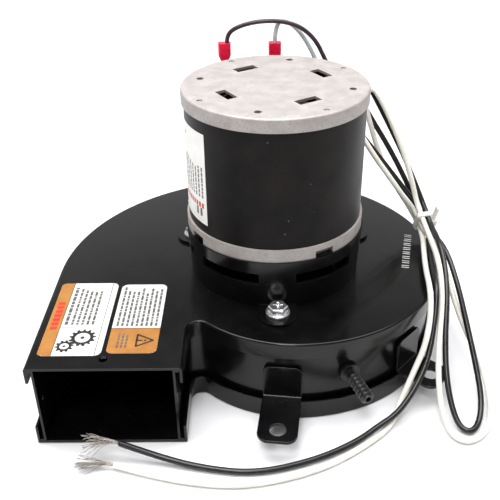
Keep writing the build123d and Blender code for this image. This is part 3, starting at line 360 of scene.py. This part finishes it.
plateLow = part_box("nameplate")[0][2] / mm
plate = {"radius": 41.15, "frontEdge": -138.5}   # outer face in mm, and the angle of its front edge


def onNameplate(s, t):  # s round the motor from the front edge in mm, t up from the lower edge
    angle = np.radians(plate["frontEdge"]) - s / plate["radius"]
    radius = (plate["radius"] + inkLift) * mm
    return np.stack([radius * np.cos(angle), radius * np.sin(angle), (plateLow + t) * mm], -1)


instructionSize = {"stripe": 5.9, "gutter": 24.4, "picture": 19.5, "long": 54.3, "line": 0.3}
size = instructionSize
inkPieces = [
    (inkBlocks("instructionStripe", [(0, 1.2, 0.6, size["long"] - 1.2), (0.6, 0.4, 2.2, size["long"] - 0.4),
                                     (2.2, 0, size["stripe"], size["long"])], onInstruction), "orangeInk"),
    (inkBlocks("instructionHeading", [(1.5, 18 + 3.1 * n, 4.7, 20.3 + 3.1 * n) for n in range(7)],
               overInk(onInstruction)), "redInk"),
    (inkBlocks("instructionLines", [
        (size["stripe"], 0, size["stripe"] + size["line"], size["long"]),
        (size["gutter"], 0, size["gutter"] + size["line"], size["long"]),
        (size["stripe"], size["picture"], size["gutter"], size["picture"] + size["line"])],
        onInstruction), "blackInk"),
    (inkBlocks("instructionText", np.concatenate([
        textRows([8.2], 21.5, 53.4, 1.5, 1, 1.4, 3.6), textRows([10.9, 13.2, 15.5, 17.8, 20.1], 21.5, 53.4, 1.15, 2)]),
        onInstruction), "greyInk"),
    (inkBands("instructionPicture", [
        (ringOutline((17.4, 12.2), 3.3), ringOutline((17.4, 12.2), 4.8, 13, 1.1)),
        (ringOutline((10.6, 6.4), 2.0), ringOutline((10.6, 6.4), 3.2, 10, 0.9)),
        (ringOutline((17.4, 12.2), 0.02), ringOutline((17.4, 12.2), 0.9)),
        (ringOutline((10.6, 6.4), 0.02), ringOutline((10.6, 6.4), 0.7))], onInstruction), "blackInk"),
    (inkBlocks("cautionBlock", [(1.6, 0, 19.9, 0.6), (0.6, 0.6, 20.9, 1.8), (0, 1.8, 21.5, 17.2)],
               onCaution), "orangeInk"),
    (inkBlocks("cautionLines", [(0, 17.2, 21.5, 17.5)], onCaution), "blackInk"),
    (inkBands("cautionTriangle", [
        (triangleOutline((14.6, 8.6), 3.9), triangleOutline((14.6, 8.6), 5.6)),
        (ringOutline((15.9, 8.6), 0.02), ringOutline((15.9, 8.6), 0.55))], overInk(onCaution)), "blackInk"),
    (inkBlocks("cautionMark", [(12.1, 8.2, 14.7, 9.0)], overInk(onCaution)), "blackInk"),
    (inkBlocks("cautionText", np.concatenate([
        textRows([2.2 + 2.15 * n for n in range(9)], 18.8, 50.8, 1.1, 4)]), onCaution), "greyInk"),
    (inkBlocks("cautionSmallText", textRows([4.2, 6.0, 7.8], 3.6, 14.5, 0.8, 5, 0.9, 2.4, 0.5),
               overInk(onCaution)), "greyInk"),
    (inkBlocks("nameplateText", np.concatenate([
        textRows([2.6, 5.2, 7.8, 10.4, 13.0, 15.6, 18.2, 20.8], 13.0, 31.0, 1.1, 6, 0.8, 2.6, 0.4),
        textRows([25.5, 29.0, 32.5, 36.0, 39.5, 43.0, 46.5, 50.0], 6.0, 38.0, 1.3, 7, 1.0, 3.2),
        [(3.4, 3.6, 5.0, 7.6), (6.6, 3.6, 8.2, 7.6), (18.4, 38.2, 20.2, 39.8)]]), onNameplate, True), "greyInk"),
    (inkBlocks("nameplateMark", [(2.0 + 2.4 * n, 7.9, 3.6 + 2.4 * n, 10.4) for n in range(9)],
               onNameplate, True), "redInk"),
]

# a row of plain white ink ticks where the factory marks each housing
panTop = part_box("top_pan")[1][2] / mm
tickRow = {"from": (64.4, -9.2), "turn": 77.7, "pitch": 4.3, "height": 1.8, "width": 0.55, "count": 8,
           "strokes": (0.3, 2.0)}


def onPan(s, t):  # s across the row of ticks, t along it
    turned = math.radians(tickRow["turn"])
    x = tickRow["from"][0] + t * math.cos(turned) + s * math.sin(turned)
    y = tickRow["from"][1] + t * math.sin(turned) - s * math.cos(turned)
    return np.stack([x, y, s * 0 + panTop + inkLift], -1) * mm


tickStarts = np.add.outer(tickRow["pitch"] * np.arange(tickRow["count"]), tickRow["strokes"]).ravel()
tickHalf = np.full(len(tickStarts), tickRow["height"])
ticks = np.stack([-tickHalf, tickStarts, tickHalf, tickStarts + tickRow["width"]], 1)
inkPieces.append((inkBlocks("housingTicks", ticks, onPan), "whiteInk"))
for piece, ink in inkPieces:
    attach(piece, "base")
print("labels printed")

# spot welds: shallow rings where the electrodes pressed the feet on to the wall
weldRing = {"radius": 2.6, "rise": 0.07, "height": 17.5, "reach": 1.5, "blur": 0.45, "sunk": 0.02,
            "rings": 15, "around": 40}


def spotWeld(name, centre, outward):
    # profile turned about the outward axis: rise = full on the ring, sinking to the sheet at both sides
    outward = np.array((outward[0], outward[1], 0.0))
    side = np.cross((0, 0, 1.0), outward)
    around = weldRing["around"]
    radius = np.linspace(0.0, weldRing["reach"] * weldRing["radius"], weldRing["rings"] + 1)[1:]
    crest = np.exp(-((radius - weldRing["radius"]) / weldRing["blur"]) ** 2)
    rise = weldRing["rise"] * crest - weldRing["sunk"]
    angle = np.linspace(0, 2 * np.pi, around, endpoint=False)
    circle = np.cos(angle)[:, None] * side + np.sin(angle)[:, None] * np.array((0, 0, 1.0))
    points = np.array(centre) + radius[:, None, None] * circle + rise[:, None, None] * outward
    middle = (np.array(centre) - weldRing["sunk"] * outward)[None]
    quads = gridFaces(len(radius), around, True).tolist()
    fan = [[k, (k + 1) % around, len(radius) * around] for k in range(around)]
    piece = newPiece(name, np.concatenate([points.reshape(-1, 3), middle]) * mm, quads + fan)
    outwardFaces(piece)
    return piece


footSheet = 1.5
footPlaces = {   # arc centre, wall radius and angle of each foot
    "front": ((9.2, -9.2), 56.7, -97.0),
    "right": ((9.2, 4.0), 69.9, -42.0),
    "rear": ((-5.4, -9.2), 97.7, 122.0),
}
welds = []
for side, (centre, radius, degrees) in footPlaces.items():
    out = (math.cos(math.radians(degrees)), math.sin(math.radians(degrees)))
    face = radius + footSheet
    at = (centre[0] + face * out[0], centre[1] + face * out[1], weldRing["height"])
    weld = spotWeld(f"{side}FootWeld", at, out)
    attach(weld, "base")
    welds.append(weld)
print("spot welds pressed")


def linearColour(code):  # sRGB hex to linear
    parts = np.array([int(code[n:n + 2], 16) / 255 for n in (1, 3, 5)])
    return (*np.where(parts <= 0.04045, parts / 12.92, ((parts + 0.055) / 1.055) ** 2.4).tolist(), 1.0)


def addNode(tree, kind, settings=None, links=None):
    # a name that is a socket sets its value, any other is the node's own setting
    node = tree.nodes.new(kind)
    for key, value in (settings or {}).items():
        if key == "ramp":
            for stop, (place, colour) in zip(node.color_ramp.elements, value):
                stop.position = place
                stop.color = colour
        elif isinstance(key, int) or key in node.inputs:
            node.inputs[key].default_value = value
        else:
            setattr(node, key, value)
    for key, source in (links or {}).items():
        tree.links.new(source, node.inputs[key])
    return node


def grey(value):
    return (value, value, value, 1.0)


dustColour = "#8a8a88"


def mixed(tree, below, above, share=None, **settings):
    # one colour over another; each is a socket, or a colour code
    fixed, joined = {"data_type": "RGBA", **settings}, {}
    for socket, colour in ((6, below), (7, above)):
        if isinstance(colour, str):
            fixed[socket] = linearColour(colour)
        else:
            joined[socket] = colour
    if share is None:
        fixed[0] = 1.0
    else:
        joined[0] = share
    return addNode(tree, "ShaderNodeMix", fixed, joined).outputs[2]


def stepped(tree, value, stops):
    return addNode(tree, "ShaderNodeValToRGB", {"ramp": stops}, {"Fac": value}).outputs["Color"]


def noise(tree, place, size, detail, roughness):
    settings = {"Scale": 1 / (size * mm), "Detail": detail, "Roughness": roughness}
    return addNode(tree, "ShaderNodeTexNoise", settings, {"Vector": place}).outputs["Fac"]


def makeFinish(name, look):
    # two colours in soft patches, roughness that drifts with them, and grain or lines pressed in as a bump
    finish = bpy.data.materials.new(name)
    finish.use_nodes = True
    tree = finish.node_tree
    shader = tree.nodes["Principled BSDF"]
    place = addNode(tree, "ShaderNodeTexCoord").outputs["Object"]
    patches = noise(tree, place, look["patch"], 4.0, 0.6)
    colour = mixed(tree, look["deep"], look["pale"], stepped(tree, patches, [(0.36, grey(0)), (0.66, grey(1))]))
    height = noise(tree, place, look["grain"], 3.0, 0.55)
    if "speckle" in look:   # darker or brighter grains, a colour and how many of them show
        fleck, start = look["speckle"]
        colour = mixed(tree, colour, fleck, stepped(tree, height, [(start, grey(0)), (start + 0.1, grey(1))]))
    if "dust" in look:      # single specks of dust: small discs round some of the cells' centres
        cells = addNode(tree, "ShaderNodeTexVoronoi", {"Scale": 1 / (look["dust"] * mm)}, {"Vector": place})
        specks = stepped(tree, cells.outputs["Distance"], [(0.03, grey(0.35)), (0.05, grey(0))])
        colour = mixed(tree, colour, dustColour, specks)
    if "bands" in look:     # laid or stacked lines of this pitch
        pitch, across = look["bands"]
        settings = {"wave_type": "BANDS", "bands_direction": across, "Scale": 0.314 / (pitch * mm),
                    "Distortion": 0.6, "Detail": 1.0}
        height = addNode(tree, "ShaderNodeTexWave", settings, {"Vector": place}).outputs["Fac"]
        colour = mixed(tree, look["line"], colour, height)
    if "drawn" in look:     # painted shade: sides facing away from up are darkened, to this share of the colour on upright sides, as if less light fell on them
        normal = addNode(tree, "ShaderNodeNewGeometry").outputs["Normal"]
        facing = addNode(tree, "ShaderNodeSeparateXYZ", links={"Vector": normal})
        settings = {"From Min": 0.2, "From Max": 0.9, "To Min": look["drawn"], "To Max": 1.0}
        sideShadeFactor = addNode(tree, "ShaderNodeMapRange", settings, {"Value": facing.outputs["Z"]})
        colour = mixed(tree, colour, sideShadeFactor.outputs["Result"], blend_type="MULTIPLY")
    tree.links.new(colour, shader.inputs["Base Color"])
    low, high = look["rough"]
    rough = addNode(tree, "ShaderNodeMapRange", {"To Min": low, "To Max": high}, {"Value": patches})
    tree.links.new(rough.outputs["Result"], shader.inputs["Roughness"])
    bump = addNode(tree, "ShaderNodeBump", {"Strength": 1.0, "Distance": look["height"] * mm}, {"Height": height})
    tree.links.new(bump.outputs["Normal"], shader.inputs["Normal"])
    for socket, value in look.get("sockets", {}).items():
        shader.inputs[socket].default_value = value
    return finish


# sizes in mm. patch: drift of colour and gloss. grain: size of the texture, height: how deep it is
finishes = {
    # gloss enamel baked on pressed steel: black with a slight orange peel, handling smudges and a little dust
    "black_enamel": {"deep": "#070708", "pale": "#0e0e0f", "patch": 14, "rough": (0.12, 0.3),
                     "grain": 2.2, "height": 0.012,
                     "dust": 4.5, "sockets": {"IOR": 1.5, "Specular IOR Level": 0.3, "Coat Weight": 0.08,
                                              "Coat Roughness": 0.06}},
    # the motor's shell: the same black sprayed thinner, satin, with pale brownish patches of painted reflection in its
    # colour
    "shellEnamel": {"deep": "#080808", "pale": "#1d1816", "patch": 24, "rough": (0.28, 0.5), "grain": 1.4,
                    "height": 0.012,
                    "dust": 9, "sockets": {"IOR": 1.5, "Specular IOR Level": 0.12}},
    # galvanised steel, stamped: warm grey, satin, a fine salt and pepper grain drawn coarse enough to show
    # painted shade: its upright sides are darkened to 0.72 of the colour of its top
    "galvanised_steel": {"drawn": 0.72, "deep": "#b8b1ae", "pale": "#cac3c0", "patch": 7,
                         "rough": (0.44, 0.58), "grain": 0.5, "height": 0.02,
                         "speckle": ("#99938e", 0.57), "sockets": {"Metallic": 0.35,
                                                                   "Specular IOR Level": 0.4}},
    # bright zinc plate on cold headed screws: clear, faintly blue, with tiny pits
    "zinc_plate": {"deep": "#d8d9db", "pale": "#f6f6f6", "patch": 2, "rough": (0.26, 0.42), "grain": 0.5,
                   "height": 0.01,
                   "sockets": {"Metallic": 1.0}},
    # moulded black nylon: satin, a fine spark eroded texture
    "black_nylon": {"deep": "#0d0d0e", "pale": "#171718", "patch": 5, "rough": (0.26, 0.4), "grain": 0.4,
                    "height": 0.012,
                    "sockets": {"IOR": 1.53}},
    # natural nylon tie: milky white, slightly see-through at its edges
    "white_nylon": {"deep": "#dcdad2", "pale": "#efeee8", "patch": 4, "rough": (0.3, 0.42), "grain": 0.4,
                    "height": 0.008,
                    "sockets": {"IOR": 1.53, "Subsurface Weight": 0.15, "Subsurface Scale": 0.001}},
    # electrical steel, stamped and stacked: blue grey edges of 0.5 mm laminations
    "electrical_steel": {"deep": "#3c3e42", "pale": "#55575c", "patch": 6, "rough": (0.4, 0.55),
                         "grain": 0.6, "height": 0.03,
                         "bands": (0.5, "Z"), "line": "#2a2b2e", "sockets": {"Metallic": 0.8}},
    # enamelled copper wire, varnished: amber red turns 0.6 mm apart, drawn at 0.8 so that they show
    "copper_winding": {"deep": "#8a3a18", "pale": "#b4582a", "patch": 3, "rough": (0.2, 0.35),
                       "grain": 0.5, "height": 0.06,
                       "bands": (0.8, "DIAGONAL"), "line": "#4a1c0c", "sockets": {"Metallic": 0.7,
                                                                                  "Coat Weight": 0.6}},
    # oil filled sintered bronze: dull gold, open pores
    "sintered_bronze": {"deep": "#7d6236", "pale": "#a3854f", "patch": 3, "rough": (0.38, 0.5),
                        "grain": 0.3, "height": 0.02,
                        "speckle": ("#4d3c20", 0.62), "sockets": {"Metallic": 0.9}},
    # wool felt soaked with oil: matted fibres, yellowed
    "felt": {"deep": "#8f8468", "pale": "#b3a989", "patch": 2, "rough": (0.8, 0.95), "grain": 0.35,
             "height": 0.12,
             "sockets": {"Sheen Weight": 0.4}},
    # blued spring steel, stamped
    "blue_steel_spring": {"deep": "#3b4450", "pale": "#56606e", "patch": 4, "rough": (0.25, 0.38),
                          "grain": 0.6, "height": 0.006,
                          "sockets": {"Metallic": 1.0}},
    # ground steel: fine rings left by the wheel, drawn 0.4 mm apart
    "ground_steel": {"deep": "#8b8c8f", "pale": "#b2b3b5", "patch": 5, "rough": (0.18, 0.3), "grain": 0.6,
                     "height": 0.003,
                     "bands": (0.4, "Z"), "line": "#86878a", "sockets": {"Metallic": 1.0}},
    # die cast aluminium: pale grey skin with flow marks
    "cast_aluminium": {"deep": "#9b9c9e", "pale": "#c0c1c2", "patch": 7, "rough": (0.4, 0.58),
                       "grain": 0.8, "height": 0.03,
                       "sockets": {"Metallic": 0.9}},
    # aluminised steel sheet: dull silver, faint rolled streaks
    "wheel_steel": {"deep": "#8e9092", "pale": "#b4b6b7", "patch": 8, "rough": (0.34, 0.48), "grain": 0.7,
                    "height": 0.008,
                    "bands": (1.6, "X"), "line": "#a3a5a6", "sockets": {"Metallic": 0.95}},
    # moulded black rubber: matt, a soft bloom
    "black_rubber": {"deep": "#101010", "pale": "#1d1c1b", "patch": 3, "rough": (0.55, 0.7), "grain": 0.5,
                     "height": 0.02,
                     "sockets": {"IOR": 1.52}},
    # deep drawn aluminium can: satin with drawing lines up its side
    "capacitor_aluminium": {"deep": "#a5a7aa", "pale": "#cbccce", "patch": 10, "rough": (0.28, 0.42),
                            "grain": 0.7, "height": 0.004,
                            "bands": (0.9, "X"), "line": "#b2b4b6", "sockets": {"Metallic": 1.0}},
    # red nylon sleeve over a push-on terminal: clear strong red, smooth
    "red_nylon": {"deep": "#d90430", "pale": "#f8164a", "patch": 4, "rough": (0.24, 0.38), "grain": 0.5,
                  "height": 0.008,
                  "sockets": {"IOR": 1.53, "Subsurface Weight": 0.1, "Subsurface Scale": 0.001}},
    # extruded PVC insulation: glossy, faintly wavy along the wire
    "black_pvc": {"deep": "#0e0b0c", "pale": "#1a1516", "patch": 6, "rough": (0.22, 0.36), "grain": 1.2,
                  "height": 0.015,
                  "sockets": {"IOR": 1.54}},
    "white_pvc": {"deep": "#e8e4d8", "pale": "#f3f1ea", "patch": 9, "rough": (0.25, 0.38), "grain": 1.2,
                  "height": 0.012,
                  "sockets": {"IOR": 1.54, "Subsurface Weight": 0.1, "Subsurface Scale": 0.001}},
    "brown_pvc": {"deep": "#2c1a22", "pale": "#402a33", "patch": 6, "rough": (0.25, 0.38), "grain": 1.2,
                  "height": 0.012,
                  "sockets": {"IOR": 1.54}},
    "grey_pvc": {"deep": "#a9b0b5", "pale": "#c6ccd0", "patch": 6, "rough": (0.25, 0.38), "grain": 1.2,
                 "height": 0.012,
                 "sockets": {"IOR": 1.54}},
    # tinned copper strands, drawn and twisted: bright grey with a trace of copper
    "tinned_copper": {"deep": "#8d8279", "pale": "#c3bdb6", "patch": 0.8, "rough": (0.25, 0.4),
                      "grain": 0.3, "height": 0.01,
                      "sockets": {"Metallic": 0.85}},
    # printed film label: white, semi-gloss, very slightly yellowed
    "printed_label": {"deep": "#e9e8e4", "pale": "#f4f3f0", "patch": 12, "rough": (0.35, 0.48),
                      "grain": 0.8, "height": 0.006,
                      "sockets": {"IOR": 1.48}},
    # screen inks over the film
    "orangeInk": {"deep": "#a86d2c", "pale": "#b97f3a", "patch": 9, "rough": (0.35, 0.5), "grain": 0.5,
                  "height": 0.004},
    "redInk": {"deep": "#bb2a14", "pale": "#d13a20", "patch": 5, "rough": (0.35, 0.5), "grain": 0.5,
               "height": 0.004},
    "blackInk": {"deep": "#161514", "pale": "#242220", "patch": 5, "rough": (0.35, 0.5), "grain": 0.5,
                 "height": 0.004},
    "greyInk": {"deep": "#4c4a4a", "pale": "#6b6968", "patch": 1.5, "rough": (0.4, 0.55), "grain": 0.5,
                "height": 0.004},
    "whiteInk": {"deep": "#c9c9c6", "pale": "#e9e9e6", "patch": 0.8, "rough": (0.4, 0.55), "grain": 0.4,
                 "height": 0.004},
}
materials = {name: makeFinish(name, look) for name, look in finishes.items()}
# the motor shell takes the black enamel with painted reflection patches
finishOf = {**slotOf, "motor_shell": "shellEnamel"}
for node, piece in shown.items():
    piece.data.materials.clear()
    piece.data.materials.append(materials[finishOf[node]])
for piece, ink in inkPieces:
    piece.data.materials.append(materials[ink])
for weld in welds:
    weld.data.materials.append(materials["black_enamel"])
print("finishes:", len(materials))

# studio: pale floor, three soft boxes, and a sky banded by height, brighter behind than in front
studio = {
    "floor": "#f4f4f6", "floorSize": 6.0, "floorLevel": -0.0004, "floorRough": 0.7,
    # height of the ray, brightness
    "back": [(0.0, 0.75), (0.06, 0.75), (0.12, 0.5), (0.3, 0.85),
             (0.485, 0.78), (0.63, 0.32), (0.85, 0.35), (1.0, 1.0)],
    "front": [(0.0, 0.75), (0.06, 0.75), (0.12, 0.3), (0.85, 0.35), (1.0, 1.0)],
    "boxes": [   # place, size, watts
        ((-0.35, 0.05, 1.5), 1.0, 20.0),
        ((0.5, 0.15, 1.4), 0.8, 9.0),
        ((-0.1, -0.62, 0.98), 0.2, 3.6),
    ],
}
edge = studio["floorSize"] / 2
corners = [(x * edge, y * edge, studio["floorLevel"]) for x, y in ((-1, -1), (1, -1), (1, 1), (-1, 1))]
floor = newPiece("floor", corners, [[0, 1, 2, 3]], smooth=False)
floorFinish = bpy.data.materials.new("floorPaper")
floorFinish.use_nodes = True
floorShader = floorFinish.node_tree.nodes["Principled BSDF"]
floorShader.inputs["Base Color"].default_value = linearColour(studio["floor"])
floorShader.inputs["Roughness"].default_value = studio["floorRough"]
floor.data.materials.append(floorFinish)

sky = bpy.data.worlds.new("sky")
sky.use_nodes = True
scene.world = sky
skyTree = sky.node_tree
heading = addNode(skyTree, "ShaderNodeTexCoord").outputs["Generated"]
split = addNode(skyTree, "ShaderNodeSeparateXYZ", links={"Vector": heading})


def skyHalf(stops):   # brightness by the height of the ray
    shades = addNode(skyTree, "ShaderNodeValToRGB", links={"Fac": split.outputs["Z"]})
    for _ in range(len(stops) - 2):
        shades.color_ramp.elements.new(0.5)
    for stop, (position, value) in zip(shades.color_ramp.elements, stops):
        stop.position = position
        stop.color = grey(value)
    return shades.outputs["Color"]


toBack = addNode(skyTree, "ShaderNodeMapRange", {"From Min": -0.2, "From Max": 0.3}, {"Value": split.outputs["Y"]})
both = mixed(skyTree, skyHalf(studio["front"]), skyHalf(studio["back"]), toBack.outputs["Result"])
skyTree.links.new(both, skyTree.nodes["Background"].inputs["Color"])

middle = Vector((0, 0, 0.05))
for number, (place, width, power) in enumerate(studio["boxes"]):
    lamp = bpy.data.lights.new(f"softBox{number + 1}", "AREA")
    lamp.size = width
    lamp.energy = power
    box = bpy.data.objects.new(lamp.name, lamp)
    box.location = place
    box.rotation_euler = (middle - Vector(place)).to_track_quat("-Z", "Y").to_euler()
    scene.collection.objects.link(box)
scene.view_settings.view_transform = "Standard"
print("studio lit")
